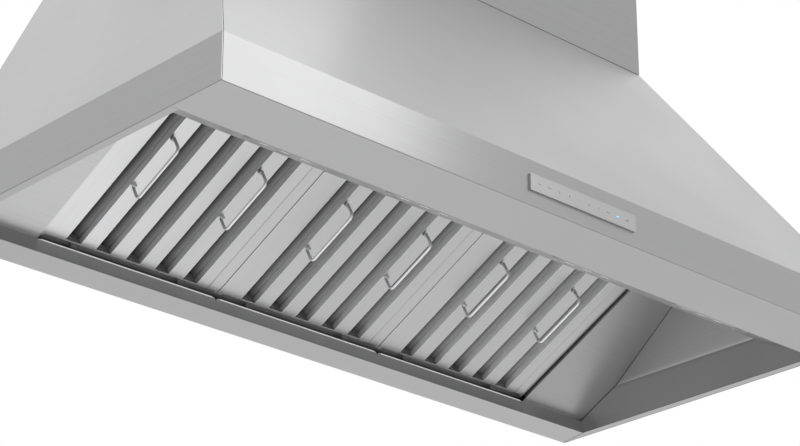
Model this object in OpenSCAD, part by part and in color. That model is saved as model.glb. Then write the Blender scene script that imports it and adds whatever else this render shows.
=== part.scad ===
// Wall mount range hood: a pyramid canopy over a sloping bank of three baffle filters,
// a light panel along the front, twin centrifugal blowers and a telescoping duct cover.
// X runs to the right as seen from the front, the wall is the plane y = 0, Z is up.
// The origin is the centre of the wall bolt pattern, and heights below are taken from
// the canopy's bottom edge, which lies mount_rise under the origin.

/* [Canopy] */
// Width of the canopy
hood_w = 1219; // [1100:1:1370]
// Depth of the canopy from the wall
hood_d = 610; // [590:1:680]
// Height of the upright band
band_h = 63.5; // [55:0.5:80]
// Height of the sloping faces above the band
slope_rise = 398.5; // [380:0.5:440]
// Thickness of the canopy's sheet steel
sheet = 1.2; // [0.8:0.1:1.6]
// Width of the flange folded in at the top of the sloping faces
top_flange = 18; // [12:1:24]
// Width of the shadow gaps between the outer panels
seam = 0.8; // [0.4:0.1:1.2]

/* [Bottom lips] */
// Width of the front lip
front_lip = 95; // [85:1:105]
// Width of the side lips
side_lip = 14.5; // [10:0.5:20]
// Depth of the rear flange that closes the grease trough
rear_lip = 54; // [53:1:58]
// Height of the lip rails' upstands inside the band
lip_up = 20; // [12:1:26]

/* [Filter bank] */
// Distance of the trough's front wall from the wall plane
trough_d = 49.5; // [46:0.5:52]
// Height of the trough's front wall
trough_h = 21.5; // [20:0.5:26]
// Angle of the filter bank above the horizontal
bank_tilt = 26.9; // [25:0.1:28]
// Width of one filter
filter_w = 307; // [300:1:310]
// Length of one filter along the slope
filter_len = 325; // [315:1:332]
// Thickness of one filter
filter_t = 19; // [17:0.5:22]
// Sheet thickness of the filters
filter_sheet = 0.9; // [0.6:0.1:1.2]
// Gap between two filters
filter_gap = 1; // [0.6:0.1:1.6]
// Gap between the bank and the sides of its opening
bank_gap = 1.6; // [1:0.1:3]
// Gap before and behind a filter
end_gap = 7.5; // [6:0.5:9]
// How far the filters are set back from the liner's face
recess = 5.2; // [4:0.1:6.5]
// Height of the folded edge round the bank's opening
opening_fold = 12; // [8:1:16]

/* [Baffles] */
// Number of slots in a filter
slot_count = 5; // [5:2:5]
// Width of a slot
slot_w = 25; // [22:0.5:27]
// Distance from one slot to the next
slot_pitch = 50.4; // [48:0.2:52]
// Plate left at the ends of the slots
slot_end = 2; // [2:0.5:5]
// Height of the folded edges of the front baffles
baffle_fold = 9; // [7:0.5:10]
// How far a rear baffle reaches past each side of its slot
baffle_lap = 6.5; // [5:0.5:8]
// Width of the return flange round the back of the filter frame
frame_flange = 9; // [6:0.5:12]
// Diameter of the grease drain holes
drain_d = 5; // [3:0.5:7]
// Width of the ears at the filters' rear corners
ear_w = 6.5; // [5:0.5:9]
// Length of the ears
ear_len = 3.4; // [2:0.1:3.6]
// Distance of the crease from a filter's right edge
crease_in = 20; // [14:1:24]

/* [Bail handles] */
// Diameter of the bail wire
wire_d = 4.4; // [3.6:0.2:5]
// Distance between the legs of a bail
bail_span = 95; // [85:1:110]
// Reach of a bail from its hinge to its bar
bail_reach = 24; // [20:0.5:30]
// Inside radius of the bail's corners
bail_bend = 5; // [3:0.5:8]
// Distance of the bail's middle from the trough, along the slope
bail_along = 175; // [165:1:190]
// Distance of the hinge line from the filter's face
bail_drop = 3.6; // [3.4:0.1:5]
// Thickness of the hinge lugs
lug_t = 1.6; // [1.2:0.1:2]
// Metal left round the hole of a lug
lug_wall = 1.2; // [1:0.1:2]
// Radial clearance of the running fits
run_gap = 0.05; // [0.02:0.01:0.09]
// Gap between a leg and its lug
side_gap = 0.8; // [0.5:0.1:1.2]

/* [Lights and controls] */
// Height of the light panel's upper edge
light_rise = 64; // [58:1:70]
// Length of a light bar
bar_w = 125; // [115:1:135]
// Depth of a light bar's bezel
bar_d = 21; // [18:0.5:25]
// How far a bezel stands proud
bezel_t = 2; // [1.5:0.1:3]
// Width of the bezel's rim round the panel cut-out
bezel_rim = 3; // [2:0.5:4]
// Height of a light bar's housing behind the panel
bar_h = 12; // [10:0.5:16]
// Distance between the outer light bars' centres
outer_bars = 790; // [760:1:820]
// Distance between the inner light bars' centres
inner_bars = 310; // [290:1:330]
// Number of lenses in a light bar
lens_count = 3; // [3:1:3]
// Distance from one lens to the next
lens_pitch = 35; // [32:0.5:37]
// Diameter of a lens
lens_d = 14; // [11:0.5:16]
// Width of the touch panel
panel_w = 200; // [180:1:230]
// Height of the touch panel
panel_h = 24; // [20:0.5:30]
// How far the touch panel stands proud
panel_t = 3; // [2:0.1:4]
// Radius of the touch panel's corners
panel_round = 1.5; // [1:0.1:3]
// Depth of the electronics behind the touch panel
module_t = 14; // [10:0.5:20]

/* [Blowers] */
// Distance between the two blowers' middles
blower_pitch = 290; // [280:1:310]
// Width of a blower housing
scroll_w = 170; // [160:1:180]
// Radius of the scroll just after its tongue
scroll_start = 98; // [96:0.5:102]
// Radius of the scroll where it leaves for the outlet
scroll_end = 150; // [140:1:156]
// Distance of the impeller axis from the wall
axis_d = 165; // [160:1:170]
// Height of the impeller axis
axis_h = 310; // [300:1:318]
// Thickness of the blower's sheet
scroll_sheet = 1; // [0.8:0.1:1.4]
// Radius of the blower's inlets
inlet_r = 72; // [68:0.5:74]
// Radius of the inward roll round an inlet
inlet_roll = 8; // [5:0.5:9]
// Width of the outlet flange
outlet_flange = 13; // [10:0.5:16]
// Number of blades on an impeller
blade_count = 36; // [24:1:40]
// Outer radius of an impeller
impeller_r = 89; // [86:0.5:90]
// Depth of the blades along a radius
blade_depth = 18; // [14:0.5:20]
// Thickness of a blade
blade_t = 0.8; // [0.6:0.1:1.2]
// Length of an impeller
impeller_w = 140; // [130:1:144]
// Thickness of the impeller's disc and end rings
rotor_sheet = 1.2; // [1:0.1:1.6]
// Radius of the impeller's hub
hub_r = 14; // [10:0.5:18]
// Length of the impeller's hub
hub_len = 16; // [12:1:20]
// Radius of a motor shaft
shaft_r = 4; // [3:0.25:5]
// Radius of a motor
motor_r = 42; // [38:0.5:46]
// Length of a motor
motor_len = 60; // [54:1:64]
// How far a shaft reaches into its motor
shaft_in = 35; // [28:1:40]
// Width of the motor bracket's arms
arm_w = 14; // [10:0.5:18]
// Thickness of the motor bracket
arm_t = 2; // [1.5:0.1:3]

/* [Outlet] */
// Height of the outlet box
box_h = 80; // [70:1:100]
// Reach of the outlet box past its outer screws
box_side = 3.5; // [3:0.5:20]
// Depth of the outlet box
box_d = 290; // [280:1:300]
// Outer radius of the duct collar
collar_r = 126; // [120:0.5:128]
// Height of the duct collar
collar_h = 65; // [55:1:80]
// Wall of the duct collar
collar_t = 1; // [0.8:0.1:1.5]
// Width of the collar's flange on the box
collar_flange = 12; // [8:0.5:13]
// Height of the damper pin above the box
damper_rise = 24; // [20:1:28]
// Radius of the damper pin
pin_r = 2; // [1.5:0.1:2.5]
// Wall of the damper's knuckles
knuckle_t = 1.4; // [1:0.1:2]
// Length of a knuckle
knuckle_len = 16; // [12:1:20]
// Thickness of a damper flap
flap_t = 0.8; // [0.6:0.1:1.2]
// Gap round the damper flaps
flap_gap = 2; // [1:0.1:3]
// Width of the ledge that the closed flaps rest on
ledge_w = 5; // [4:0.5:7]

/* [Duct cover] */
// Width of the duct cover
cover_w = 840; // [780:1:860]
// Depth of the duct cover
cover_d = 353; // [345:1:365]
// Height of the lower duct cover
lower_cover_h = 400; // [350:1:450]
// How far the upper duct cover shows at rest
upper_show = 60; // [40:1:100]
// Thickness of the duct covers
cover_t = 1; // [0.8:0.1:1.4]
// Gap between the two duct covers
cover_gap = 0.5; // [0.4:0.1:1]
// Width of the duct covers' rear returns
cover_return = 20; // [14:1:26]
// Height of the upper cover's wall bracket
bracket_h = 30; // [24:1:40]
// Thickness of the wall bracket
bracket_t = 2; // [1.5:0.1:3]

/* [Mounting] */
// Height of the bolt pattern above the canopy's bottom
mount_rise = 390; // [380:1:400]
// Distance of the upper wall bolts from the canopy's sloping side
bolt_edge = 35.95; // [30:0.05:50]
// Distance between the wall bolts up the hood
bolt_rise = 50; // [40:1:60]
// Diameter of the wall bolt holes
bolt_d = 8.5; // [6:0.5:10]
// Diameter of the wiring entry
entry_d = 22.2; // [18:0.1:25]
// Distance of the wiring entry from the middle
entry_x = 330; // [320:1:340]
// Width of the junction box and of the driver box
ebox_w = 100; // [90:1:110]
// Height of the junction box and of the driver box
ebox_h = 62; // [54:1:70]
// Depth of the junction box and of the driver box
ebox_d = 42; // [36:1:50]
// Wall of the electrical boxes
ebox_t = 1.5; // [1:0.1:2]

/* [Hidden] */
$fn = 64;

// One overrun for every cut
cut = 5;
// Clearance at which a resting piece sits clear of a moving one
rest_gap = 0.3;

half_w = hood_w / 2;
canopy_h = band_h + slope_rise;
top_z = canopy_h + sheet;
// The lip rails lie inside the band's skin, behind a shadow gap
lip_in = sheet + seam;
lip_half = half_w - lip_in;
lip_front = -hood_d + lip_in;
lip_edge_y = -hood_d + front_lip;

// Directions in the filter bank: along_s points up the slope, to the front
tilt_c = cos(bank_tilt);
tilt_s = sin(bank_tilt);
opening_half = (3 * filter_w + 2 * filter_gap) / 2 + bank_gap;
header_s = filter_len + 2 * end_gap;
slot_len = filter_len - 2 * slot_end;
header_n = (light_rise - trough_h - header_s * tilt_s) / tilt_c;
light_top = bank_point(header_s, header_n);
light_foot = [lip_edge_y, sheet];
light_dir = light_top - light_foot;
light_tilt = atan2(light_dir[1], light_dir[0]);
light_len = norm(light_dir);
header_up = recess + filter_t + opening_fold;
// Point in y-z at a distance up the slope and a height over the liner's face
function bank_point(up, over) =
    [-trough_d - up * tilt_c + over * tilt_s, trough_h + up * tilt_s + over * tilt_c];

// Sheet bent along a path of points, of thickness t on the path's left side
function unit(v) = v / norm(v);
function side(v) = [-v[1], v[0]];
function bend_point(p, q, r, t) =
    let (n1 = side(unit(q - p)), n2 = side(unit(r - q))) q + t * (n1 + n2) / (1 + n1 * n2);
function beside(p, t) = [for (i = [0:len(p) - 1])
    i == 0 ? p[0] + t * side(unit(p[1] - p[0]))
    : i == len(p) - 1 ? p[i] + t * side(unit(p[i] - p[i - 1]))
    : bend_point(p[i - 1], p[i], p[i + 1], t)];
function reversed(p) = [for (i = [len(p) - 1:-1:0]) p[i]];
function mirrored(p) = [for (q = reversed(p)) [-q[0], q[1]]];

module bent(path, t) polygon(concat(path, reversed(beside(path, t))));

// Extrude a y-z outline along X, or an x-z outline along Y
module along_x(x0, x1) translate([x0, 0, 0]) rotate([90, 0, 90]) linear_extrude(x1 - x0) children();
module along_y(y0, y1) translate([0, y1, 0]) rotate([90, 0, 0]) linear_extrude(y1 - y0) children();
module block(low, high) translate(low) cube(high - low);

// Frames in which pieces are drawn
module at_mount() translate([0, 0, -mount_rise]) children();
module on_bank() at_mount() translate([0, -trough_d, trough_h]) rotate([-bank_tilt, 0, 0]) children();
module on_light_panel()
    at_mount() translate([0, light_foot[0], light_foot[1]]) rotate([light_tilt, 0, 0]) children();

// Rounded rectangle, centred
module rounded(w, h, r) {
    square([w - 2 * r, h], center = true);
    square([w, h - 2 * r], center = true);
    for (x = [-1, 1], y = [-1, 1]) translate([x * (w / 2 - r), y * (h / 2 - r)]) circle(r);
}

// Canopy outlines: the front sheet's path in y-z, the right sheet's path in x-z
front_path = [
    [-hood_d, 0], [-hood_d, band_h], [-cover_d, canopy_h], [-cover_d + top_flange, canopy_h]
];
side_path = [
    [half_w, 0], [half_w, band_h], [cover_w / 2, canopy_h], [cover_w / 2 - top_flange, canopy_h]
];
side_inner = beside(side_path, sheet);
front_outline = concat(front_path, [[0, canopy_h], [0, 0]]);
// The front sheet lies between the side sheets, behind a shadow gap at each of them
gap_path = beside(side_path, lip_in);
front_half = [gap_path[0], gap_path[1], [gap_path[2][0], canopy_h]];
// Space between the side sheets, from z = sheet up to the underside of the top flanges
between_sides = concat(
    [[side_inner[0][0], sheet], side_inner[1], side_inner[2]],
    mirrored([[side_inner[0][0], sheet], side_inner[1], side_inner[2]])
);

module front_panel() color("gainsboro") at_mount() intersection() {
    along_x(-half_w, half_w) bent(front_path, -sheet);
    along_y(-hood_d - cut, 0) polygon(concat(front_half, mirrored(front_half)));
}

// Side panel: its top flange starts behind that of the front sheet
module side_panel() at_mount() difference() {
    intersection() {
        along_y(-hood_d, 0) bent(side_path, sheet);
        along_x(0, half_w + cut) polygon(front_outline);
    }
    block([0, -cover_d - cut, canopy_h - 2 * sheet], [gap_path[2][0], -cover_d + top_flange, canopy_h + cut]);
}
module left_panel() color("gainsboro") mirror([1, 0, 0]) side_panel();
module right_panel() color("gainsboro") side_panel();

// The wall bolts keep their distance from the slope of the sides at the upper pair's height
bolt_span = 2 * (half_w - bolt_edge
    - (half_w - cover_w / 2) * (mount_rise + bolt_rise / 2 - band_h) / slope_rise);
module back_panel() color("lightgray") at_mount() difference() {
    along_y(-sheet, 0) polygon(between_sides);
    for (x = [-1, 1], z = [-1, 1])
        translate([x * bolt_span / 2, cut, mount_rise + z * bolt_rise / 2])
            rotate([90, 0, 0]) cylinder(h = sheet + 2 * cut, d = bolt_d);
    translate([entry_x, cut, mount_rise]) rotate([90, 0, 0]) cylinder(h = sheet + 2 * cut, d = entry_d);
}

// Places of the blower outlets and of the screws round them
tongue_angle = 70;
outlet_front_y = -axis_d + scroll_start * cos(tongue_angle);
outlet_rear_y = -axis_d + scroll_end;
screw_r = 2;
screw_head_r = 4;
screw_head_h = 2.4;
screw_tip = 4;
module at_screws() for (x = [-1, 1], y = [outlet_front_y - outlet_flange / 2, outlet_rear_y + outlet_flange / 2])
    translate([x * (scroll_w + outlet_flange) / 2, y, 0]) children();
module each_blower() for (s = [-1, 1]) translate([s * blower_pitch / 2, 0, 0]) children();

module top_plate() color("silver") at_mount() difference() {
    block([-cover_w / 2 + seam, -cover_d + seam, canopy_h], [cover_w / 2 - seam, 0, top_z]);
    each_blower() {
        block(
            [-scroll_w / 2 + scroll_sheet, outlet_front_y + scroll_sheet, canopy_h - cut],
            [scroll_w / 2 - scroll_sheet, outlet_rear_y - scroll_sheet, top_z + cut]
        );
        at_screws() translate([0, 0, canopy_h - cut]) cylinder(h = sheet + 2 * cut, r = screw_r);
    }
}

// Lip rails: a flat lip inside the band, with an upstand that bears on the skin higher up
module front_lip_rail() color("lightgray") at_mount() {
    block([-lip_half, lip_front, 0], [lip_half, lip_edge_y, sheet]);
    block([-half_w + side_lip, lip_front, sheet], [half_w - side_lip, lip_front + sheet, lip_up]);
    block([-half_w + side_lip, -hood_d + sheet, lip_up / 2], [half_w - side_lip, lip_front, lip_up]);
}

// The side lips meet the rear flange on a diagonal
module side_lip_rail() at_mount() {
    linear_extrude(sheet) polygon([
        [half_w - side_lip, lip_edge_y + seam / 2], [lip_half, lip_edge_y + seam / 2],
        [lip_half, -seam], [half_w - side_lip, -rear_lip - seam]
    ]);
    block([lip_half - sheet, lip_edge_y + front_lip / 2, sheet], [lip_half, -rear_lip - side_lip, lip_up]);
    block([lip_half, lip_edge_y + front_lip / 2, lip_up / 2], [half_w - sheet, -rear_lip - side_lip, lip_up]);
}
module left_lip_rail() color("lightgray") mirror([1, 0, 0]) side_lip_rail();
module right_lip_rail() color("lightgray") side_lip_rail();

// Rear rail: the trough's floor and the front wall behind the filters, with a flap for each,
// whose top edge is rolled to the front
notch_w = 2.4;
notch_h = 3;
roll_r = 0.9;
flap_w = (2 * opening_half - 2 * notch_w) / 3;
module rear_rail() color("darkgray") at_mount() {
    linear_extrude(sheet) polygon([
        [-half_w + side_lip + seam, -rear_lip], [half_w - side_lip - seam, -rear_lip],
        [lip_half - seam, 0], [-lip_half + seam, 0]
    ]);
    along_y(-trough_d, -trough_d + sheet) {
        translate([-opening_half, sheet]) square([2 * opening_half, trough_h - notch_h - sheet]);
        for (i = [-1:1]) translate([i * (flap_w + notch_w), 0]) {
            translate([-flap_w / 2, trough_h - 2 * notch_h]) square([flap_w, notch_h]);
            translate([-flap_w / 2 + notch_h, trough_h - notch_h]) square([flap_w - 2 * notch_h, notch_h]);
            for (x = [-1, 1]) translate([x * (flap_w / 2 - notch_h), trough_h - notch_h]) circle(notch_h);
        }
    }
    for (i = [-1:1]) translate([i * (flap_w + notch_w), -trough_d, trough_h])
        rotate([0, 90, 0]) cylinder(h = flap_w - 4 * notch_h, r = roll_r, center = true);
}

// Liner beside the filters: trough wall and slope in one sheet, with a fold at the opening
liner_path = [[-trough_d, sheet], [-trough_d, trough_h], bank_point(header_s, 0)];
module side_filler() {
    at_mount() difference() {
        intersection() {
            along_x(opening_half, half_w) bent(liner_path, -sheet);
            along_y(-hood_d, 0) polygon(between_sides);
        }
        block([half_w - side_lip, -trough_d - cut, 0], [half_w, -trough_d + 2 * sheet, trough_h - 2 * sheet]);
    }
    on_bank() block([opening_half, -header_s, sheet], [opening_half + sheet, -end_gap, opening_fold]);
}
module left_filler() color("darkgray") mirror([1, 0, 0]) side_filler();
module right_filler() color("darkgray") side_filler();

// Light panel and the header that the filters' front ends face, in one sheet
header_path = [
    [lip_edge_y - lip_up, sheet], light_foot, light_top,
    bank_point(header_s, header_up), bank_point(header_s, header_up) - [lip_up, 0]
];
bar_along_share = 0.38;
bar_places = [-outer_bars / 2, -inner_bars / 2, inner_bars / 2, outer_bars / 2];
bar_round = 6;
module at_bar(x) on_light_panel() translate([x, light_len * bar_along_share, 0]) children();
module light_panel() color("lightgray") difference() {
    at_mount() intersection() {
        along_x(-half_w, half_w) bent(header_path, sheet);
        along_y(-hood_d, 0) polygon(between_sides);
    }
    for (x = bar_places) at_bar(x) translate([0, 0, -cut]) linear_extrude(sheet + 2 * cut)
        rounded(bar_w - 2 * bezel_rim, bar_d - 2 * bezel_rim, bar_round);
}

// Light bar: a bezel with three lens pockets on a housing that passes through the panel
lens_sink = 1.2;
module light_bar(i) color("whitesmoke") at_bar(bar_places[i]) difference() {
    union() {
        translate([0, 0, -bezel_t]) linear_extrude(bezel_t) rounded(bar_w, bar_d, bar_round);
        linear_extrude(bar_h) rounded(bar_w - 2 * bezel_rim, bar_d - 2 * bezel_rim, bar_round);
    }
    at_lenses() cylinder(h = lens_sink + cut, d = lens_d);
}
module at_lenses() for (k = [0:lens_count - 1])
    translate([(k - (lens_count - 1) / 2) * lens_pitch, 0, -bezel_t + lens_sink]) mirror([0, 0, 1]) children();
module light_lenses() color("lemonchiffon") for (x = bar_places) at_bar(x) at_lenses()
    cylinder(h = lens_sink, d = lens_d);

// Touch panel on the middle of the band, and its electronics behind the band
module control_panel() color("lightgray") at_mount()
    translate([0, 0, band_h / 2]) along_y(-hood_d - panel_t, -hood_d) rounded(panel_w, panel_h, panel_round);
module touch_module() color("dimgray") at_mount()
    translate([0, 0, band_h / 2 + lip_up / 2]) along_y(-hood_d + sheet, -hood_d + sheet + module_t)
        rounded(panel_w - module_t, panel_h - 2 * panel_t, panel_round);

// Filters, drawn about the middle of their width. The y axis of the bank's frame runs down
// the slope, so a filter lies at negative y.
crease_sides = 4;
filter_y0 = -end_gap - filter_len;
filter_y1 = -end_gap;
frame_z0 = recess + filter_sheet;
frame_z1 = recess + filter_t;
slot_places = [for (i = [0:slot_count - 1]) (i - (slot_count - 1) / 2) * slot_pitch];
bail_places = [
    slot_places[0] + slot_w / 2 + wire_d / 2 + lug_wall + run_gap,
    slot_places[slot_count - 2] + slot_w / 2 + wire_d / 2 + lug_wall + run_gap
];
module at_filter(i) on_bank() translate([i * (filter_w + filter_gap), 0, 0]) children();

module hinge_lug() difference() {
    hull_r = wire_d / 2 + run_gap + lug_wall;
    union() {
        rotate([90, 0, 0]) cylinder(h = lug_t, r = hull_r, center = true);
        translate([-hull_r, -lug_t / 2, 0]) cube([2 * hull_r, lug_t, bail_drop]);
    }
    rotate([90, 0, 0]) cylinder(h = lug_t + 2 * cut, r = wire_d / 2 + run_gap, center = true);
}
lug_place = bail_span / 2 - wire_d / 2 - side_gap - lug_t / 2;

module filter_face() {
    difference() {
        union() {
            block([-filter_w / 2, filter_y0, recess], [filter_w / 2, filter_y1, recess + filter_sheet]);
            for (x = [-filter_w / 2, filter_w / 2 - ear_w])
                block([x, filter_y1, recess], [x + ear_w, filter_y1 + ear_len, recess + filter_sheet]);
        }
        for (x = slot_places) block(
            [x - slot_w / 2, filter_y0 + slot_end, recess - cut],
            [x + slot_w / 2, filter_y1 - slot_end, recess + filter_sheet + cut]
        );
        translate([filter_w / 2 - crease_in, 0, recess]) rotate([90, 0, 0])
            cylinder(h = 2 * (filter_len + end_gap), r = filter_sheet / 2, $fn = crease_sides, center = true);
    }
    for (x = slot_places, s = [-1, 1]) translate([x + s * (slot_w + filter_sheet) / 2, 0, 0]) block(
        [-filter_sheet / 2, filter_y0 + slot_end, recess + filter_sheet],
        [filter_sheet / 2, filter_y1 - slot_end, recess + baffle_fold]
    );
    for (x = bail_places, s = [-1, 1])
        translate([x, -bail_along + s * lug_place, recess - bail_drop]) hinge_lug();
}

baffle_half = slot_w / 2 + baffle_lap;
module rear_baffles() for (x = slot_places) translate([x, 0, 0])
    along_y(filter_y0 + filter_sheet, filter_y1 - filter_sheet) bent([
        [-baffle_half, frame_z1 - filter_sheet - baffle_fold - filter_sheet],
        [-baffle_half, frame_z1 - filter_sheet], [baffle_half, frame_z1 - filter_sheet],
        [baffle_half, frame_z1 - filter_sheet - baffle_fold - filter_sheet]
    ], -filter_sheet);

module filter_frame() difference() {
    block([-filter_w / 2, filter_y0, frame_z0], [filter_w / 2, filter_y1, frame_z1]);
    block(
        [-filter_w / 2 + filter_sheet, filter_y0 + filter_sheet, frame_z0 - cut],
        [filter_w / 2 - filter_sheet, filter_y1 - filter_sheet, frame_z1 - filter_sheet]
    );
    block(
        [-filter_w / 2 + frame_flange, filter_y0 + frame_flange, frame_z0],
        [filter_w / 2 - frame_flange, filter_y1 - frame_flange, frame_z1 + cut]
    );
    for (x = slot_places) translate([x, filter_y1 + cut, frame_z0 + drain_d])
        rotate([90, 0, 0]) cylinder(h = filter_sheet + 2 * cut, d = drain_d);
}

// Bail: two legs, a bar with bent corners, and pins turned in through the lugs
module wire(len) cylinder(h = len, d = wire_d);
corner_r = bail_bend + wire_d / 2;
pin_reach = wire_d / 2 + side_gap + lug_t;
module bail(i, place) at_filter(i) translate([bail_places[place], -bail_along, recess - bail_drop]) {
    for (s = [0, 1]) mirror([0, s, 0]) {
        translate([0, bail_span / 2, 0]) {
            sphere(d = wire_d);
            rotate([90, 0, 0]) wire(pin_reach);
            rotate([180, 0, 0]) wire(bail_reach - corner_r);
        }
        translate([0, bail_span / 2 - corner_r, corner_r - bail_reach]) rotate([0, 90, 0])
            rotate_extrude(angle = 90) translate([corner_r, 0]) circle(d = wire_d);
    }
    translate([0, bail_span / 2 - corner_r, -bail_reach]) rotate([90, 0, 0]) wire(bail_span - 2 * corner_r);
}

// Leaf springs that grip the filters' ends: on the header, and on the trough's front wall
leaf_t = 0.5;
leaf_w = 14;
leaf_place_share = 0.3;
leaf_low = recess + filter_t / 4;
leaf_high = recess + filter_t;
rear_leaf = [
    [-trough_d + sheet, trough_h / 2], [-trough_d + sheet, trough_h],
    bank_point(end_gap - rest_gap, (leaf_low + leaf_high) / 2), bank_point(end_gap / 2, leaf_high)
];
module filter_clips() color("slategray") for (i = [-1:1], s = [-1, 1]) {
    x = i * (filter_w + filter_gap) + s * filter_w * leaf_place_share;
    on_bank() along_x(x - leaf_w / 2, x + leaf_w / 2) bent([
        [leaf_t - header_s, leaf_low], [filter_y0 - rest_gap, (leaf_low + leaf_high) / 2],
        [leaf_t - header_s, leaf_high]
    ], leaf_t);
    at_mount() along_x(x - leaf_w / 2, x + leaf_w / 2) bent(rear_leaf, -leaf_t);
}

// Blower housing: a spiral wall that opens upwards, two side plates with rolled inlets
spiral_steps = 40;
function spiral(t) = [for (k = [0:spiral_steps])
    let (a = tongue_angle + k * (360 - tongue_angle) / spiral_steps,
        r = scroll_start + (scroll_end - scroll_start) * k / spiral_steps - t)
    [-axis_d + r * cos(a), axis_h + r * sin(a)]];
tongue_z = axis_h + scroll_start * sin(tongue_angle);
module scroll_outline(t) polygon(concat(
    [[outlet_front_y + t, canopy_h + (t > 0 ? cut : 0)], [outlet_front_y + t, tongue_z + t]],
    spiral(t), [[outlet_rear_y - t, canopy_h + (t > 0 ? cut : 0)]]
));
module blower_housing() at_mount() {
    difference() {
        along_x(-scroll_w / 2, scroll_w / 2) scroll_outline(0);
        along_x(-scroll_w / 2 + scroll_sheet, scroll_w / 2 - scroll_sheet) scroll_outline(scroll_sheet);
        translate([0, -axis_d, axis_h]) rotate([0, 90, 0])
            cylinder(h = scroll_w + 2 * cut, r = inlet_r, center = true);
    }
    for (s = [0, 1]) mirror([s, 0, 0]) translate([scroll_w / 2, -axis_d, axis_h]) rotate([0, -90, 0])
        translate([0, 0, inlet_roll]) rotate_extrude() inlet_section();
    difference() {
        block(
            [-scroll_w / 2 - outlet_flange, outlet_front_y - outlet_flange, canopy_h - scroll_sheet],
            [scroll_w / 2 + outlet_flange, outlet_rear_y + outlet_flange, canopy_h]
        );
        block(
            [-scroll_w / 2, outlet_front_y, canopy_h - cut], [scroll_w / 2, outlet_rear_y, canopy_h + cut]
        );
        at_screws() translate([0, 0, canopy_h - cut]) cylinder(h = 2 * cut, r = screw_r);
    }
}
// Quarter round of the inlet, from the side plate's hole in towards the impeller
module inlet_section() translate([inlet_r, 0]) difference() {
    translate([0, -inlet_roll]) square([inlet_roll, inlet_roll]);
    translate([inlet_roll, 0]) circle(inlet_roll - scroll_sheet);
    difference() {
        translate([0, -inlet_roll]) square([inlet_roll, inlet_roll]);
        translate([inlet_roll, 0]) circle(inlet_roll);
    }
}

// Impeller: forward-curved blades between two rings, on a disc and a hub
function blade_edge(bulge) = [for (k = [0:blade_steps]) let (u = k / blade_steps)
    [impeller_r - blade_depth * (1 - u), blade_depth * blade_hook_share * u * u + bulge]];
blade_steps = 5;
blade_hook_share = 0.55;
ring_w = blade_depth + blade_t;
module at_axis() at_mount() translate([0, -axis_d, axis_h]) rotate([0, 90, 0]) children();
module blade_outline() polygon(concat(blade_edge(0), reversed(blade_edge(blade_t))));
module impeller() at_axis() {
    for (k = [0:blade_count - 1]) rotate([0, 0, k * 360 / blade_count])
        linear_extrude(impeller_w, center = true) blade_outline();
    difference() {
        cylinder(h = impeller_w, r = impeller_r + rotor_sheet, center = true);
        cylinder(h = impeller_w + 2 * cut, r = impeller_r - ring_w, center = true);
        cylinder(h = impeller_w - 2 * rotor_sheet, r = impeller_r + rotor_sheet + cut, center = true);
    }
    difference() {
        union() {
            cylinder(h = rotor_sheet, r = impeller_r + rotor_sheet, center = true);
            cylinder(h = hub_len, r = hub_r, center = true);
        }
        cylinder(h = hub_len + 2 * cut, r = shaft_r, center = true);
    }
}
motor_in = scroll_w / 2 - motor_len;
module shaft() at_axis() translate([0, 0, -hub_len / 2]) cylinder(h = hub_len / 2 + motor_in + shaft_in, r = shaft_r);
motor_round = 6;
module motor() at_axis() difference() {
    translate([0, 0, motor_in]) rotate_extrude() difference() {
        union() {
            square([motor_r, motor_len]);
            translate([0, -motor_round / 2]) square([hub_r, motor_round]);
        }
        for (z = [0, motor_len]) translate([motor_r, z]) rotate(45) square(motor_round, center = true);
    }
    translate([0, 0, motor_in - cut]) cylinder(h = shaft_in + motor_round + cut, r = shaft_r + run_gap);
}
arm_out = inlet_r + arm_w;
module motor_bracket() at_axis() translate([0, 0, scroll_w / 2]) {
    cylinder(h = arm_t, r = motor_r - motor_round);
    for (k = [0:2]) rotate([0, 0, 90 + k * 120]) translate([0, -arm_w / 2, 0]) cube([arm_out, arm_w, arm_t]);
}
module blower_screws() color("dimgray") at_mount() each_blower() at_screws() {
    translate([0, 0, canopy_h - scroll_sheet - screw_head_h]) cylinder(h = screw_head_h, r = screw_head_r);
    translate([0, 0, canopy_h - scroll_sheet]) cylinder(h = scroll_sheet + sheet + screw_tip, r = screw_r);
}

// Outlet box over both outlets, its lid, and a round collar on top
collar_y = -box_d / 2;
box_w = blower_pitch + scroll_w + outlet_flange + 2 * box_side;
box_top = top_z + box_h;
module outlet_box() color("silver") at_mount() difference() {
    block([-box_w / 2, -box_d, top_z], [box_w / 2, -sheet, box_top - scroll_sheet]);
    block(
        [-box_w / 2 + scroll_sheet, -box_d + scroll_sheet, top_z - cut],
        [box_w / 2 - scroll_sheet, -sheet - scroll_sheet, box_top + cut]
    );
}
module outlet_box_lid() color("silver") at_mount() difference() {
    block([-box_w / 2, -box_d, box_top - scroll_sheet], [box_w / 2, -sheet, box_top]);
    translate([0, collar_y, box_top - cut]) cylinder(h = 2 * cut, r = collar_r - collar_t);
}
ledge_top = damper_rise - pin_r - flap_t - rest_gap;
module duct_collar() color("silver") at_mount() translate([0, collar_y, box_top]) difference() {
    union() {
        cylinder(h = collar_t, r = collar_r + collar_flange);
        cylinder(h = collar_h, r = collar_r);
    }
    difference() {
        translate([0, 0, -cut]) cylinder(h = collar_h + 2 * cut, r = collar_r - collar_t);
        translate([0, 0, ledge_top - collar_t]) cylinder(h = collar_t, r = collar_r);
    }
    translate([0, 0, -cut]) cylinder(h = collar_h, r = collar_r - collar_t - ledge_w);
    translate([0, 0, damper_rise]) rotate([0, 90, 0]) cylinder(h = 2 * collar_r + cut, r = pin_r, center = true);
}
module damper_pin() color("dimgray") at_mount() translate([0, collar_y, box_top + damper_rise])
    rotate([0, 90, 0]) cylinder(h = 2 * collar_r, r = pin_r, center = true);

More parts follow.
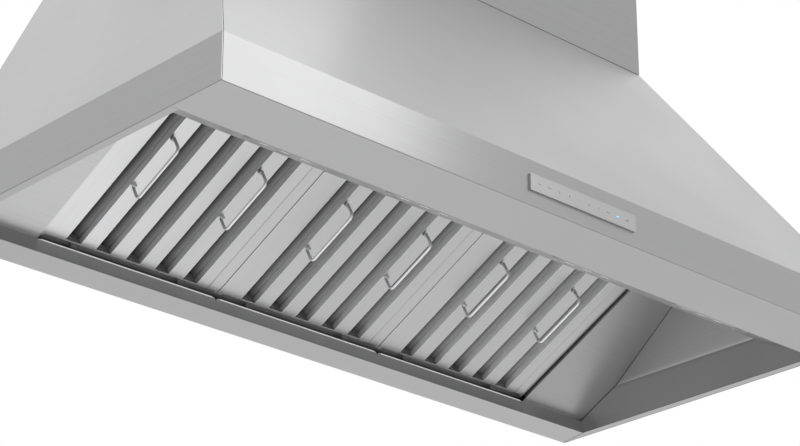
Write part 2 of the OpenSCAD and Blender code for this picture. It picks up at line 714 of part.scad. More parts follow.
// Half-round flap, clear of the other flap's knuckles, with a tab to each of its own two
flap_r = collar_r - collar_t - flap_gap;
knuckle_r = pin_r + run_gap + knuckle_t;
flap_edge = knuckle_r + rest_gap;
module damper_flap(knuckle_x) {
    translate([0, 0, -pin_r - flap_t]) linear_extrude(flap_t) difference() {
        circle(flap_r);
        translate([-collar_r, -collar_r]) square([2 * collar_r, collar_r + flap_edge]);
    }
    for (s = [-1, 1]) translate([s * knuckle_x, 0, 0]) difference() {
        union() {
            rotate([0, 90, 0]) cylinder(h = knuckle_len, r = knuckle_r, center = true);
            translate([-knuckle_len / 2, 0, -pin_r - flap_t]) cube([knuckle_len, flap_edge, flap_t]);
        }
        rotate([0, 90, 0]) cylinder(h = knuckle_len + 2 * cut, r = pin_r + run_gap, center = true);
    }
}
inner_knuckle_share = 0.3;
outer_knuckle_share = 0.6;
module at_damper() at_mount() translate([0, collar_y, box_top + damper_rise]) children();
module rear_damper_flap() color("silver") at_damper() damper_flap(flap_r * inner_knuckle_share);
module front_damper_flap() color("silver") at_damper() mirror([0, 1, 0]) damper_flap(flap_r * outer_knuckle_share);

// Duct covers: front and two sides in one sheet, with returns along the wall
function cover_path(w, d) = [
    [-w / 2 + cover_return, 0], [-w / 2, 0], [-w / 2, -d], [w / 2, -d], [w / 2, 0], [w / 2 - cover_return, 0]
];
module lower_duct_cover() color("gainsboro") at_mount() translate([0, 0, top_z])
    linear_extrude(lower_cover_h) bent(cover_path(cover_w, cover_d), cover_t);
inset = cover_t + cover_gap;
module upper_duct_cover() color("gainsboro") at_mount() translate([0, -inset, top_z + rest_gap])
    linear_extrude(lower_cover_h + upper_show - rest_gap)
        bent(cover_path(cover_w - 2 * inset, cover_d - 2 * inset), cover_t);
module cover_bracket() color("darkgray") at_mount() difference() {
    w = cover_w - 2 * inset - 2 * cover_t;
    translate([0, -inset - cover_t - bracket_t, top_z + lower_cover_h + upper_show - bracket_h])
        block([-w / 2, 0, 0], [w / 2, bracket_t, bracket_h]);
    for (s = [-1, 1]) translate([s * bolt_span / 4, cut, top_z + lower_cover_h + upper_show - bracket_h / 2])
        rotate([90, 0, 0]) cylinder(h = inset + cover_t + bracket_t + 2 * cut, d = bolt_d);
}

// Electrical boxes on the back panel
module ebox_shell(lid) difference() {
    block([-ebox_w / 2, -sheet - ebox_d, -ebox_h / 2], [ebox_w / 2, -sheet, ebox_h / 2]);
    block(
        [-ebox_w / 2 + ebox_t, -sheet - ebox_d - (lid ? cut : -ebox_t), -ebox_h / 2 + ebox_t],
        [ebox_w / 2 - ebox_t, -sheet - ebox_t, ebox_h / 2 - ebox_t]
    );
}
module junction_box() color("gray") translate([entry_x, 0, 0]) difference() {
    ebox_shell(true);
    translate([0, cut, 0]) rotate([90, 0, 0]) cylinder(h = sheet + ebox_t + 2 * cut, d = entry_d);
}
module junction_cover() color("darkgray") translate([entry_x, 0, 0])
    block([-ebox_w / 2, -sheet - ebox_d - ebox_t, -ebox_h / 2], [ebox_w / 2, -sheet - ebox_d, ebox_h / 2]);
module driver_box() color("gray") translate([-entry_x, 0, 0]) ebox_shell(false);

module blower_side(s) mirror([s < 0 ? 1 : 0, 0, 0]) translate([blower_pitch / 2, 0, 0]) children();

front_panel();
left_panel();
right_panel();
back_panel();
top_plate();
front_lip_rail();
left_lip_rail();
right_lip_rail();
rear_rail();
left_filler();
right_filler();
light_panel();
filter_clips();
light_bar(0);  // light_bar_1
light_bar(1);  // light_bar_2
light_bar(2);  // light_bar_3
light_bar(3);  // light_bar_4
light_lenses();
control_panel();
touch_module();
color("silver") at_filter(-1) filter_face();  // filter_1_face
color("darkgray") at_filter(-1) rear_baffles();  // filter_1_rear_baffles
color("silver") at_filter(-1) filter_frame();  // filter_1_frame
color("silver") at_filter(0) filter_face();  // filter_2_face
color("darkgray") at_filter(0) rear_baffles();  // filter_2_rear_baffles
color("silver") at_filter(0) filter_frame();  // filter_2_frame
color("silver") at_filter(1) filter_face();  // filter_3_face
color("darkgray") at_filter(1) rear_baffles();  // filter_3_rear_baffles
color("silver") at_filter(1) filter_frame();  // filter_3_frame
color("lightgray") bail(-1, 0);  // bail_1_left
color("lightgray") bail(-1, 1);  // bail_1_right
color("lightgray") bail(0, 0);  // bail_2_left
color("lightgray") bail(0, 1);  // bail_2_right
color("lightgray") bail(1, 0);  // bail_3_left
color("lightgray") bail(1, 1);  // bail_3_right
color("silver") blower_side(-1) blower_housing();  // left_blower_housing
color("gray") blower_side(-1) impeller();  // left_impeller
color("dimgray") blower_side(-1) shaft();  // left_shaft
color("dimgray") blower_side(-1) motor();  // left_motor
color("darkgray") blower_side(-1) motor_bracket();  // left_motor_bracket
color("silver") blower_side(1) blower_housing();  // right_blower_housing
color("gray") blower_side(1) impeller();  // right_impeller
color("dimgray") blower_side(1) shaft();  // right_shaft
color("dimgray") blower_side(1) motor();  // right_motor
color("darkgray") blower_side(1) motor_bracket();  // right_motor_bracket
blower_screws();
outlet_box();
outlet_box_lid();
duct_collar();
damper_pin();
front_damper_flap();
rear_damper_flap();
lower_duct_cover();
upper_duct_cover();
cover_bracket();
junction_box();
junction_cover();
driver_box();
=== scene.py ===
"""Looks of the wall mount range hood: brushed steel, inner sheets, touch marks, studio."""

import math

import bpy
from mathutils import Matrix, Vector


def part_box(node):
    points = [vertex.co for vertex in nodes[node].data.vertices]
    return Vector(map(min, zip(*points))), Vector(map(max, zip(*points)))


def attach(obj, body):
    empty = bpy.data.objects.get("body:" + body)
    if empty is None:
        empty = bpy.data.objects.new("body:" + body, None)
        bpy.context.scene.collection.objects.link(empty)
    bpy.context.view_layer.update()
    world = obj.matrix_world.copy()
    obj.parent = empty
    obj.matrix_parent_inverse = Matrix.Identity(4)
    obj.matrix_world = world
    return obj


MM = 0.001
# Noise keeps mostly within this range.
NOISE_LOW, NOISE_HIGH = 0.3, 0.7
# The canopy's bottom edge lies this far under the row's origin.
RISE = 0.390


# Node helpers
def new_material(name):
    """An empty material with its tree and its shader node."""
    m = bpy.data.materials.new(name)
    m.use_nodes = True
    tree = m.node_tree
    tree.nodes.clear()
    out = tree.nodes.new("ShaderNodeOutputMaterial")
    bsdf = tree.nodes.new("ShaderNodeBsdfPrincipled")
    tree.links.new(bsdf.outputs[0], out.inputs[0])
    return m, tree, bsdf


def stretched_noise(tree, scale, detail=3.0, place=(0, 0, 0), tilt=0.0):
    """Noise in object space turned by tilt about X, stretched along the axis with the small scale."""
    coord = tree.nodes.new("ShaderNodeTexCoord")
    turn = tree.nodes.new("ShaderNodeMapping")
    turn.inputs["Rotation"].default_value = (tilt, 0, 0)
    tree.links.new(coord.outputs["Object"], turn.inputs["Vector"])
    mapping = tree.nodes.new("ShaderNodeMapping")
    mapping.inputs["Scale"].default_value = scale
    mapping.inputs["Location"].default_value = place
    tree.links.new(turn.outputs[0], mapping.inputs["Vector"])
    noise = tree.nodes.new("ShaderNodeTexNoise")
    noise.inputs["Scale"].default_value = 1.0
    noise.inputs["Detail"].default_value = detail
    noise.inputs["Roughness"].default_value = 0.6
    tree.links.new(mapping.outputs[0], noise.inputs["Vector"])
    return noise.outputs["Fac"]


def ranged(tree, value, low, high, start=0.0, end=1.0):
    r = tree.nodes.new("ShaderNodeMapRange")
    r.inputs["From Min"].default_value = start
    r.inputs["From Max"].default_value = end
    r.inputs["To Min"].default_value = low
    r.inputs["To Max"].default_value = high
    tree.links.new(value, r.inputs["Value"])
    return r.outputs[0]


def grey_mix(tree, factor, dark, light):
    mix = tree.nodes.new("ShaderNodeMix")
    mix.data_type = "RGBA"
    mix.inputs[6].default_value = (*dark, 1)
    mix.inputs[7].default_value = (*light, 1)
    tree.links.new(factor, mix.inputs[0])
    return mix.outputs[2]


# Cosine of the angle between the bevelled and the plain normal, for a full edge and for none
EDGE_RANGE = (0.85, 0.98)


def edge_mask(tree, width):
    """1 on the sharp edges, falling to 0 within the width."""
    bevel = tree.nodes.new("ShaderNodeBevel")
    bevel.samples = 8
    bevel.inputs["Radius"].default_value = width
    geometry = tree.nodes.new("ShaderNodeNewGeometry")
    dot = tree.nodes.new("ShaderNodeVectorMath")
    dot.operation = "DOT_PRODUCT"
    tree.links.new(bevel.outputs[0], dot.inputs[0])
    tree.links.new(geometry.outputs["Normal"], dot.inputs[1])
    return ranged(tree, dot.outputs["Value"], 1.0, 0.0, *EDGE_RANGE)


def times(tree, *factors):
    """Product of several sockets or numbers."""
    product = factors[0]
    for factor in factors[1:]:
        node = tree.nodes.new("ShaderNodeMath")
        node.operation = "MULTIPLY"
        tree.links.new(product, node.inputs[0])
        if isinstance(factor, float):
            node.inputs[1].default_value = factor
        else:
            tree.links.new(factor, node.inputs[1])
        product = node.outputs[0]
    return product


def dot_with(tree, vector, direction):
    node = tree.nodes.new("ShaderNodeVectorMath")
    node.operation = "DOT_PRODUCT"
    node.inputs[1].default_value = direction
    tree.links.new(vector, node.inputs[0])
    return node.outputs["Value"]


def place_along(tree, direction, start):
    """Distance of the point from a starting point, along a direction of the part's own frame."""
    coord = tree.nodes.new("ShaderNodeTexCoord")
    along = dot_with(tree, coord.outputs["Object"], direction)
    node = tree.nodes.new("ShaderNodeMath")
    node.operation = "SUBTRACT"
    node.inputs[1].default_value = Vector(start).dot(Vector(direction))
    tree.links.new(along, node.inputs[0])
    return node.outputs[0]


def facing(tree, direction):
    """1 on faces that look along a direction or against it, 0 on faces at more than 60 degrees to it."""
    geometry = tree.nodes.new("ShaderNodeNewGeometry")
    node = tree.nodes.new("ShaderNodeMath")
    node.operation = "ABSOLUTE"
    tree.links.new(dot_with(tree, geometry.outputs["True Normal"], direction), node.inputs[0])
    return ranged(tree, node.outputs[0], 0.0, 1.0, 0.5, 0.6)


# Noise scales per metre: along the steel's grain, across it, of slow clouds and of small mottle
ALONG_GRAIN = 1.5
ACROSS_GRAIN = 900
CLOUDS = (3, 3, 3)
MOTTLE = (60, 60, 60)
FINE_MOTTLE = (400, 400, 400)
CLOUD_SHIFT = (4, 1, 7)
TINTS = (1.0, 1.0, 1.01)
GRAIN_DEPTH = 0.3 * MM
# How far the roughness of steel and of plastic strays, and how dark mottle and glass get
STEEL_SPREAD = 0.03
PLASTIC_SPREAD = 0.04
MOTTLE_DARK = 0.94
GLASS_DARK = 0.92


def steel(name, along, tone=0.36, rough=0.32, grain=0.033, bump=0.01, tilt=0.0, across=None, metal=1.0,
          edge=0.0, shades=(), highlight_at=None):
    """Brushed stainless steel with its grain along one axis, and slow cloudy changes of sheen.

    Tone and metal are numbers, or functions of the node tree that give a socket. The shades are such
    functions too, and multiply the tone. Sharp edges get a painted highlight: they are whitened over the
    edge width, where highlight_at, one more such function, gives 1.
    """
    m, tree, bsdf = new_material(name)
    fine = tuple(ALONG_GRAIN if axis == along else ACROSS_GRAIN for axis in "XYZ")
    lines = stretched_noise(tree, fine, 2.0, tilt=tilt)
    cloud = stretched_noise(tree, CLOUDS, 2.0, CLOUD_SHIFT)
    base = ranged(tree, lines, 1 - grain, 1 + grain, NOISE_LOW, NOISE_HIGH)
    base = times(tree, base, *(part(tree) if callable(part) else part for part in (tone, *shades)))
    rgb = tree.nodes.new("ShaderNodeCombineColor")
    for k, tint in enumerate(TINTS):
        tree.links.new(times(tree, base, tint), rgb.inputs[k])
    colour = rgb.outputs[0]
    gloss = metal(tree) if callable(metal) else None
    if gloss:
        tree.links.new(gloss, bsdf.inputs["Metallic"])
    else:
        bsdf.inputs["Metallic"].default_value = metal
    # Painted highlight: the colour turns white on sharp edges.
    if edge:
        mask = edge_mask(tree, edge)
        if highlight_at:
            mask = times(tree, mask, highlight_at(tree))
        bright = tree.nodes.new("ShaderNodeMix")
        bright.data_type = "RGBA"
        bright.inputs[7].default_value = (1, 1, 1, 1)
        tree.links.new(mask, bright.inputs[0])
        tree.links.new(colour, bright.inputs[6])
        colour = bright.outputs[2]
    tree.links.new(colour, bsdf.inputs["Base Color"])
    if across:
        # The sheen spreads across the grain and stays tight along it.
        bsdf.inputs["Anisotropic"].default_value = 0.75
        tangent = tree.nodes.new("ShaderNodeCombineXYZ")
        for k in range(3):
            tangent.inputs[k].default_value = across[k]
        tree.links.new(tangent.outputs[0], bsdf.inputs["Tangent"])
    sheen = ranged(tree, cloud, rough - STEEL_SPREAD, rough + STEEL_SPREAD, NOISE_LOW, NOISE_HIGH)
    tree.links.new(sheen, bsdf.inputs["Roughness"])
    relief = tree.nodes.new("ShaderNodeBump")
    relief.inputs["Strength"].default_value = bump
    relief.inputs["Distance"].default_value = GRAIN_DEPTH
    tree.links.new(lines, relief.inputs["Height"])
    tree.links.new(relief.outputs[0], bsdf.inputs["Normal"])
    return m


def plastic(name, colour, rough):
    """Smooth plastic, paint or ink, with a fine mottle."""
    m, tree, bsdf = new_material(name)
    cloud = stretched_noise(tree, MOTTLE, 4.0)
    dark = tuple(c * MOTTLE_DARK for c in colour)
    tree.links.new(grey_mix(tree, cloud, dark, colour), bsdf.inputs["Base Color"])
    sheen = ranged(tree, cloud, rough - PLASTIC_SPREAD, rough + PLASTIC_SPREAD, NOISE_LOW, NOISE_HIGH)
    tree.links.new(sheen, bsdf.inputs["Roughness"])
    return m


def glowing(name, colour, strength):
    """Glass or a mark that gives a little light of its own."""
    m, tree, bsdf = new_material(name)
    cloud = stretched_noise(tree, FINE_MOTTLE, 2.0)
    dark = tuple(c * GLASS_DARK for c in colour)
    colours = grey_mix(tree, cloud, dark, colour)
    tree.links.new(colours, bsdf.inputs["Base Color"])
    tree.links.new(colours, bsdf.inputs["Emission Color"])
    bsdf.inputs["Emission Strength"].default_value = strength
    bsdf.inputs["Roughness"].default_value = 0.35
    return m


# Load the frame
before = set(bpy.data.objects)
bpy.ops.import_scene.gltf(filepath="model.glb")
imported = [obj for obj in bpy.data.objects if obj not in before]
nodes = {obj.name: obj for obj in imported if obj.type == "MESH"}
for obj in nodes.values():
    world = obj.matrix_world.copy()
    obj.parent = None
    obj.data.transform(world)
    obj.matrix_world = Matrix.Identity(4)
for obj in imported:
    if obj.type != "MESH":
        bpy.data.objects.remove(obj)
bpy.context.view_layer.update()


def dress(material, *names):
    """Give CAD nodes their material."""
    for name in names:
        mesh = nodes[name].data
        mesh.materials.clear()
        mesh.materials.append(material)


# Sizes of the filter bank that the shades of its slots follow
BANK = math.radians(26.9)
TROUGH = (0, -49.5 * MM, 21.5 * MM - RISE)
UP_BANK = (0, -math.cos(BANK), math.sin(BANK))
OVER_BANK = (0, math.sin(BANK), math.cos(BANK))
X_AXIS = (1, 0, 0)
Y_AXIS = (0, 1, 0)
Z_AXIS = (0, 0, 1)
FILTER_PITCH = 308 * MM
FILTER_HALF = 153.5 * MM
SLOT_PITCH = 50.4 * MM
# How far the plates lie over the bank's plane, and the crease from the middle of its filter
RECESS = 5.2 * MM
CREASE = 133.5 * MM


def slot_end_shade(tree):
    """Slots lie in the shadow of the trough at their lower ends."""
    return ranged(tree, place_along(tree, UP_BANK, TROUGH), 0.5, 1.0, 10 * MM, 34 * MM)


def slot_side_shade(middle):
    """Rear baffles lie in the shadow of the plate on the left of each slot, painted as shade, and are
    painted brighter towards the slot's right.
    """
    def shade(tree):
        from_slot = tree.nodes.new("ShaderNodeMath")
        from_slot.operation = "WRAP"
        tree.links.new(place_along(tree, X_AXIS, (middle, 0, 0)), from_slot.inputs[0])
        from_slot.inputs[1].default_value = SLOT_PITCH / 2
        from_slot.inputs[2].default_value = -SLOT_PITCH / 2
        dark = ranged(tree, from_slot.outputs[0], 0.10, 0.84, 4.0 * MM, 12 * MM)
        return times(tree, dark, ranged(tree, from_slot.outputs[0], 1.0, 2.2, 11 * MM, 17 * MM))
    return shade


def across_shade(left, right, at_left, at_right):
    """A shade that changes between two places across the hood."""
    return lambda tree: ranged(tree, place_along(tree, X_AXIS, (0, 0, 0)), at_left, at_right, left, right)


# Painted light: the slots are painted brighter towards the right, and the plates are painted with a gleam
# at the bank's left end and a little brighter again towards the right.
towards_light = across_shade(-300 * MM, 300 * MM, 1.0, 1.2)
painted_left_gleam = across_shade(-450 * MM, -250 * MM, 1.1, 0.92)
painted_right_gleam = across_shade(-100 * MM, 150 * MM, 1.0, 1.08)


def fold_only(value, elsewhere):
    """One value on the folded edges of the slots, another elsewhere."""
    return lambda tree: ranged(tree, facing(tree, X_AXIS), elsewhere, value)


def on_folds(shade):
    """A shade that lies on the folded edges alone."""
    def masked(tree):
        mix = tree.nodes.new("ShaderNodeMix")
        mix.inputs[2].default_value = 1.0
        tree.links.new(facing(tree, X_AXIS), mix.inputs[0])
        tree.links.new(shade(tree), mix.inputs[3])
        return mix.outputs[0]
    return masked


def height_shade(low, high, below, above):
    """A shade that changes between two heights over the canopy's bottom edge."""
    return lambda tree: ranged(tree, place_along(tree, Z_AXIS, (0, 0, -RISE)), below, above, low, high)


def trough_wall_light(tree):
    """The upright part of a filler, at the trough, catches more light than its slope."""
    return ranged(tree, facing(tree, Y_AXIS), 1.0, 1.9)


def within_filter(tree):
    """Distance of the point from the middle of its own filter, to the right."""
    node = tree.nodes.new("ShaderNodeMath")
    node.operation = "WRAP"
    node.inputs[1].default_value = FILTER_PITCH / 2
    node.inputs[2].default_value = -FILTER_PITCH / 2
    tree.links.new(place_along(tree, X_AXIS, (0, 0, 0)), node.inputs[0])
    return node.outputs[0]


def crease_shade(tree):
    """Painted shade: a thin soft dark line along the crease near each filter's right edge."""
    from_crease = tree.nodes.new("ShaderNodeMath")
    from_crease.operation = "SUBTRACT"
    from_crease.inputs[1].default_value = CREASE
    tree.links.new(within_filter(tree), from_crease.inputs[0])
    distance = tree.nodes.new("ShaderNodeMath")
    distance.operation = "ABSOLUTE"
    tree.links.new(from_crease.outputs[0], distance.inputs[0])
    return ranged(tree, distance.outputs[0], 0.75, 1.0, 0.9 * MM, 1.5 * MM)


def right_edge_shade(tree):
    """The right edge of each filter turns down into the seam beside the next, and is painted dark there
    as shade.
    """
    return ranged(tree, within_filter(tree), 1.0, 0.35, FILTER_HALF - 1.6 * MM, FILTER_HALF - 0.9 * MM)


def painted_highlight_edges(tree):
    """Where the painted edge highlight lies: on the plate and not on its lugs, and left of the crease
    alone.
    """
    over_bank = place_along(tree, OVER_BANK, TROUGH)
    on_plate = ranged(tree, over_bank, 0.0, 1.0, RECESS - 0.8 * MM, RECESS - 0.3 * MM)
    left_of_crease = ranged(tree, within_filter(tree), 1.0, 0.0, CREASE - 4 * MM, CREASE - 3 * MM)
    return times(tree, on_plate, left_of_crease)


def seam_shade(tree):
    """Painted shade: a thin dark line on the side liners where they meet the sloping fillers."""
    return ranged(tree, place_along(tree, OVER_BANK, TROUGH), 1.0, 0.3, -1.6 * MM, -0.9 * MM)


steel_x = steel("steel_grain_x", "X", across=(0, 0, 1))
steel_y = steel("steel_grain_y", "Y")
cover_steel = steel("cover_steel", "X", 0.33, across=(0, 0, 1))
touch_steel = steel("touch_steel", "X", 0.41, 0.36)
liner = steel("liner_steel", "X", 0.36, 0.36)
apron_steel = steel("apron_steel", "X", 0.40, 0.36)
# Painted shade: the right filler gets a darker copy of the liner steel.
shaded_right_filler = steel("shaded_right_filler_steel", "X", 0.31, 0.36, shades=(trough_wall_light,))
# Painted light: the side liners are painted brighter on their upright part, below the band's bend, than
# on their slope.
inner_liner = steel("inner_liner_steel", "Y", 0.26, 0.36,
                    shades=(height_shade(54 * MM, 66 * MM, 1.75, 1.0), seam_shade))
# Painted shade: the drip guard is painted dark towards its foot, as shade in the gap behind the filters.
guard_steel = steel("guard_steel", "X", 0.7, 0.45, metal=0.2,
                    shades=(height_shade(29.5 * MM, 37 * MM, 0.05, 0.75),))
# Painted light: the slots' folded edges are painted lighter, and less metallic, than the plates.
filter_steel = steel("filter_steel", "Y", fold_only(0.62, 0.41), 0.30, tilt=BANK, edge=0.7 * MM,
                     metal=fold_only(0.1, 1.0), highlight_at=painted_highlight_edges,
                     shades=(on_folds(slot_end_shade), on_folds(towards_light), painted_left_gleam, painted_right_gleam,
                             crease_shade, right_edge_shade))
# Painted shade: the filter frames are painted dark and dull, so the slots' lower ends look shaded.
frame_steel = steel("frame_steel", "Y", 0.2, 0.40, tilt=BANK, metal=0.2)
wire_steel = steel("wire_steel", "Y", 0.66, 0.20, grain=0.01, bump=0.0, tilt=BANK, metal=0.5)
# Painted highlight: the rolled edge along the trough's top is painted bright.
trough_steel = steel("trough_steel", "X", 0.36, 0.42, metal=0.7,
                     shades=(height_shade(20 * MM, 20.6 * MM, 1.0, 2.4),))
# Painted shade: the filter clips are painted dark, darkest low down, to sit in the shade of the gap.
clip_steel = steel("clip_steel", "X", 0.7, 0.45, metal=0.2,
                   shades=(height_shade(22 * MM, 32 * MM, 0.03, 0.35),))
galvanised = steel("galvanised_steel", "X", 0.29, 0.45, 0.08)
spring = steel("spring_steel", "X", 0.26, 0.3)
motor_paint = plastic("motor_paint", (0.03, 0.03, 0.032), 0.4)
bezel = plastic("bezel_plastic", (0.40, 0.40, 0.39), 0.4)
electronics = plastic("electronics_plastic", (0.03, 0.03, 0.035), 0.5)
lens = glowing("lens_glass", (1.0, 0.95, 0.87), 0.55)

dress(steel_x, "front_panel", "front_lip_rail")
dress(cover_steel, "lower_duct_cover", "upper_duct_cover")
dress(touch_steel, "control_panel")
dress(steel_y, "left_panel", "right_panel", "left_lip_rail", "right_lip_rail")
dress(liner, "left_filler", "light_panel")
dress(shaded_right_filler, "right_filler")
dress(trough_steel, "rear_rail")
for i in (1, 2, 3):
    dress(filter_steel, f"filter_{i}_face")
    dress(frame_steel, f"filter_{i}_frame")
    slot_steel = steel(f"baffle_steel_{i}", "Y", 0.36, 0.45, tilt=BANK, metal=0.1,
                       shades=(slot_end_shade, slot_side_shade((i - 2) * FILTER_PITCH), towards_light))
    dress(slot_steel, f"filter_{i}_rear_baffles")
    dress(wire_steel, f"bail_{i}_left", f"bail_{i}_right")
dress(galvanised, "back_panel", "top_plate", "outlet_box", "outlet_box_lid", "duct_collar")
dress(galvanised, "front_damper_flap", "rear_damper_flap", "cover_bracket")
dress(galvanised, "junction_box", "junction_cover")
for side in ("left", "right"):
    dress(galvanised, f"{side}_blower_housing", f"{side}_impeller", f"{side}_motor_bracket")
    dress(spring, f"{side}_shaft")
    dress(motor_paint, f"{side}_motor")
dress(spring, "damper_pin", "blower_screws")
dress(clip_steel, "filter_clips")
dress(bezel, *(f"light_bar_{i}" for i in range(1, 5)))
dress(lens, "light_lenses")
dress(electronics, "touch_module", "driver_box")


# Inner sheets that show from below. Heights are over the bottom edge.
SHEET = 1.2 * MM
SIDE_LIP = 14.5 * MM
BAND = 63.5 * MM
LINER_RISE = 206 * MM
# Half the guard's width, its depth from the wall and its height over the trough
GUARD_HALF = 475 * MM
GUARD_DEPTH = 37 * MM
GUARD_HEIGHT = 24 * MM
# The light panel runs from its foot at the front lip's edge to its top, as (y, z).
PANEL_FOOT = Vector((-515, 1.2)) * MM
PANEL_TOP = Vector((-409.2, 64)) * MM
# Where on the panel the apron starts, how far it drops under the panel's top, and half its width
APRON_START = 0.5
APRON_DROP = 5.2 * MM
APRON_HALF = 594 * MM


def folded_sheet(name, points, run, material):
    """Sheet steel whose outer face is a path of points, swept along a vector."""
    path = [Vector(p) for p in points]
    count = len(path)
    faces = [(k, k + 1, count + k + 1, count + k) for k in range(count - 1)]
    mesh = bpy.data.meshes.new(name)
    mesh.from_pydata(path + [p + Vector(run) for p in path], [], faces)
    mesh.materials.append(material)
    obj = bpy.data.objects.new(name, mesh)
    bpy.context.scene.collection.objects.link(obj)
    solid = obj.modifiers.new("sheet", "SOLIDIFY")
    solid.thickness = SHEET
    solid.use_even_offset = True
    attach(obj, "canopy")


def side_liner(name, side):
    """Inner skin parallel to the side sheet, from the side lip's inner edge up past the filters."""
    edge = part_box("right_panel")[1]
    foot = Vector((edge[0], BAND - RISE))
    lean = (Vector((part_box("lower_duct_cover")[1][0], edge[2])) - foot).normalized()
    on_slope = foot + Vector((-lean[1], lean[0])) * SIDE_LIP
    bend = on_slope + lean * (on_slope[0] - foot[0] + SIDE_LIP) / -lean[0]
    top = bend + lean * (LINER_RISE - RISE - bend[1]) / lean[1]
    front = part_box(f"{name}_lip_rail")[0][1]
    points = [(side * x, front, z) for x, z in ((bend[0], SHEET - RISE), bend, top)]
    folded_sheet(f"{name}_side_liner", points[::side], (0, -SHEET - front, 0), inner_liner)


side_liner("left", -1)
side_liner("right", 1)
trough_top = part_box("rear_rail")[1][2]
guard_top = trough_top + GUARD_HEIGHT
guard_points = [(-GUARD_HALF, y, z) for y, z in (
    (-SHEET, guard_top), (-GUARD_DEPTH, guard_top), (-GUARD_DEPTH, trough_top)
)]
folded_sheet("drip_guard", guard_points, (2 * GUARD_HALF, 0, 0), guard_steel)
apron_foot = PANEL_FOOT.lerp(PANEL_TOP, APRON_START)
apron_points = [(-APRON_HALF, y, z - RISE) for y, z in (
    apron_foot, (PANEL_TOP[0], PANEL_TOP[1] - APRON_DROP), PANEL_TOP
)]
folded_sheet("light_apron", apron_points, (2 * APRON_HALF, 0, 0), apron_steel)


# Touch marks, with sizes and places in mm
MARK_PROUD = 0.02
MARK_PITCH = 18.5
MARK_COUNT = 10


def flat_marks(name, shapes, material):
    """Flat shapes just in front of the touch panel's face. Each is a list of (x, z) points in mm."""
    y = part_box("control_panel")[0][1] - MARK_PROUD * MM
    verts, faces = [], []
    for shape in shapes:
        first = len(verts)
        verts += [(x * MM, y, z * MM) for x, z in shape]
        faces.append(tuple(range(first, first + len(shape))))
    mesh = bpy.data.meshes.new(name)
    mesh.from_pydata(verts, [], faces)
    obj = bpy.data.objects.new(name, mesh)
    bpy.context.scene.collection.objects.link(obj)
    mesh.materials.append(material)
    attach(obj, "canopy")


def bar(x, z, w, h, slope=0.0):
    """Slim bar about (x, z); slope lifts its right end."""
    ends = ((-w / 2, -slope), (w / 2, slope))
    low_side = [(x + dx, z - h / 2 + dz) for dx, dz in ends]
    return low_side + [(x + dx, z + h / 2 + dz) for dx, dz in reversed(ends)]


low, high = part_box("control_panel")
middle = (low[2] + high[2]) / 2 / MM
places = [MARK_PITCH * (k - (MARK_COUNT - 1) / 2) for k in range(MARK_COUNT)]
marks = [bar(places[k], middle, 6.5, 0.9) for k in (0, 7, 9)]
marks += [bar(places[9], middle, 1.0, 3.0)]
marks += [bar(places[1] - 1.8, middle + 0.6, 3.0, 1.0, -0.7)]
marks += [bar(places[1] + 1.6, middle + 0.3, 3.0, 1.0, 0.9)]
marks += [bar(places[k], middle, 1.0, 3.6) for k in (2, 3, 5, 6)]
marks += [bar(places[3] + 0.8, middle + 1.5, 1.6, 0.7), bar(places[5] + 0.8, middle - 0.2, 1.6, 0.7)]
mark_ink = plastic("mark_ink", (0.12, 0.12, 0.12), 0.5)
faint_ink = plastic("faint_ink", (0.3, 0.3, 0.3), 0.5)
lit_mark = glowing("lit_mark", (0.10, 0.55, 0.85), 1.2)
flat_marks("touch_marks", marks, mark_ink)
flat_marks("touch_faint_mark", [bar(places[4], middle, 0.8, 3.0)], faint_ink)
flat_marks("touch_lit_mark", [bar(places[8], middle, 4.6, 1.3)], lit_mark)


# Studio
scene = bpy.context.scene
world = bpy.data.worlds.new("studio")
scene.world = world
world.use_nodes = True
tree = world.node_tree
tree.nodes.clear()
out = tree.nodes.new("ShaderNodeOutputWorld")
seen = tree.nodes.new("ShaderNodeBackground")
seen.inputs["Color"].default_value = (1, 1, 1, 1)
seen.inputs["Strength"].default_value = 1.0
lit = tree.nodes.new("ShaderNodeBackground")
path = tree.nodes.new("ShaderNodeLightPath")
mixed = tree.nodes.new("ShaderNodeMixShader")
tree.links.new(path.outputs["Is Camera Ray"], mixed.inputs[0])
tree.links.new(lit.outputs[0], mixed.inputs[1])
tree.links.new(seen.outputs[0], mixed.inputs[2])
tree.links.new(mixed.outputs[0], out.inputs[0])
lit.inputs["Color"].default_value = (1, 1, 1, 1)


def lobe(tree, direction, full, none, strength):
    """Brightness added around a direction: all of it within full degrees, nothing beyond none degrees."""
    coord = tree.nodes.new("ShaderNodeTexCoord")
    dot = tree.nodes.new("ShaderNodeVectorMath")
    dot.operation = "DOT_PRODUCT"
    dot.inputs[1].default_value = Vector(direction).normalized()
    tree.links.new(coord.outputs["Generated"], dot.inputs[0])
    r = tree.nodes.new("ShaderNodeMapRange")
    r.interpolation_type = "SMOOTHSTEP"
    r.inputs["From Min"].default_value = math.cos(math.radians(none))
    r.inputs["From Max"].default_value = math.cos(math.radians(full))
    r.inputs["To Min"].default_value = 0.0
    r.inputs["To Max"].default_value = strength
    tree.links.new(dot.outputs["Value"], r.inputs["Value"])
    return r.outputs[0]


# Each lobe's direction, full and none angles, and strength, over an even brightness of 1
total = None
for lobe_form in (
    ((0.35, 0.35, 0.87), 25, 62, 0.26),
    ((0.74, 0.15, 0.65), 5, 20, 0.09),
):
    add = tree.nodes.new("ShaderNodeMath")
    add.operation = "ADD"
    add.inputs[0].default_value = 1.0
    if total:
        tree.links.new(total, add.inputs[0])
    tree.links.new(lobe(tree, *lobe_form), add.inputs[1])
    total = add.outputs[0]
tree.links.new(total, lit.inputs["Strength"])


# The floor's height and the half of its width
FLOOR = -RISE - 1.70
FLOOR_HALF = 7


def floor(centre, half, material):
    mesh = bpy.data.meshes.new("floor")
    corners = [(-half, -half, 0), (half, -half, 0), (half, half, 0), (-half, half, 0)]
    mesh.from_pydata(corners, [], [(0, 1, 2, 3)])
    mesh.materials.append(material)
    obj = bpy.data.objects.new("floor", mesh)
    obj.location = centre
    scene.collection.objects.link(obj)


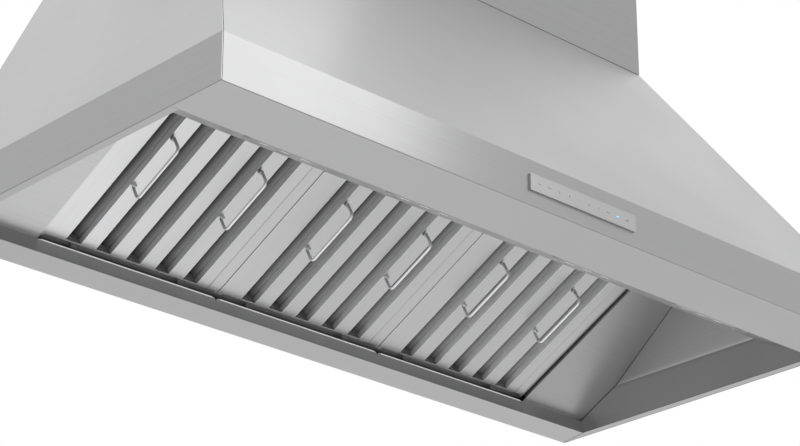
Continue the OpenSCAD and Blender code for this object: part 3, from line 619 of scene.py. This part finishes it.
floor((0, -0.8, FLOOR), FLOOR_HALF, plastic("floor_paint", (0.90, 0.90, 0.90), 0.7))


def area_light(name, place, target, width, height, power):
    data = bpy.data.lights.new(name, "AREA")
    data.shape = "RECTANGLE"
    data.size = width
    data.size_y = height
    data.energy = power
    obj = bpy.data.objects.new(name, data)
    obj.location = place
    obj.rotation_euler = (Vector(target) - Vector(place)).to_track_quat("-Z", "Y").to_euler()
    obj.visible_camera = False
    scene.collection.objects.link(obj)


# Two lamps lie just over the floor and look up. One lights the band, and one the slope over it.
area_light("floor_box", (0.52, -0.2, FLOOR + 0.02), (0.52, -0.2, 0), 1.2, 1.8, 3.8)
area_light("floor_wide", (1.6, 0.6, FLOOR + 0.01), (1.6, 0.6, 0), 4.4, 4.4, 7.6)
area_light("band_box", (-0.19, -1.40, 0.50 - RISE), (-0.44, -0.61, 0.03 - RISE), 1.08, 0.8, 4.0)
area_light("top_box", (-0.14, -0.50, 1.2 - RISE), (-0.50, -0.50, 0.2 - RISE), 0.9, 0.9, 1.7)

# Camera, fitted to the photo's straight edges: focal length in pixels of an 800 pixel wide picture
SENSOR = 36.0
PICTURE_WIDTH = 800.0
FOCAL_PX = 2593.66
YAW, PITCH, ROLL = 0.75485, 0.41675, 0.00095
PLACE = Vector((-2.28335, -2.69023, -1.35963 - RISE))
forward = Vector((math.sin(YAW) * math.cos(PITCH), math.cos(YAW) * math.cos(PITCH), math.sin(PITCH)))
right = Vector((math.cos(YAW), -math.sin(YAW), 0))
up = right.cross(forward)
right_r = right * math.cos(ROLL) + up * math.sin(ROLL)
up_r = up * math.cos(ROLL) - right * math.sin(ROLL)
camera = bpy.data.objects.new("camera", bpy.data.cameras.new("camera"))
camera.data.sensor_width = SENSOR
camera.data.lens = FOCAL_PX * SENSOR / PICTURE_WIDTH
camera.data.clip_end = 100.0
basis = Matrix((right_r, up_r, -forward)).transposed()
camera.matrix_world = Matrix.Translation(PLACE) @ basis.to_4x4()
scene.collection.objects.link(camera)
scene.camera = camera
scene.view_settings.view_transform = "Standard"
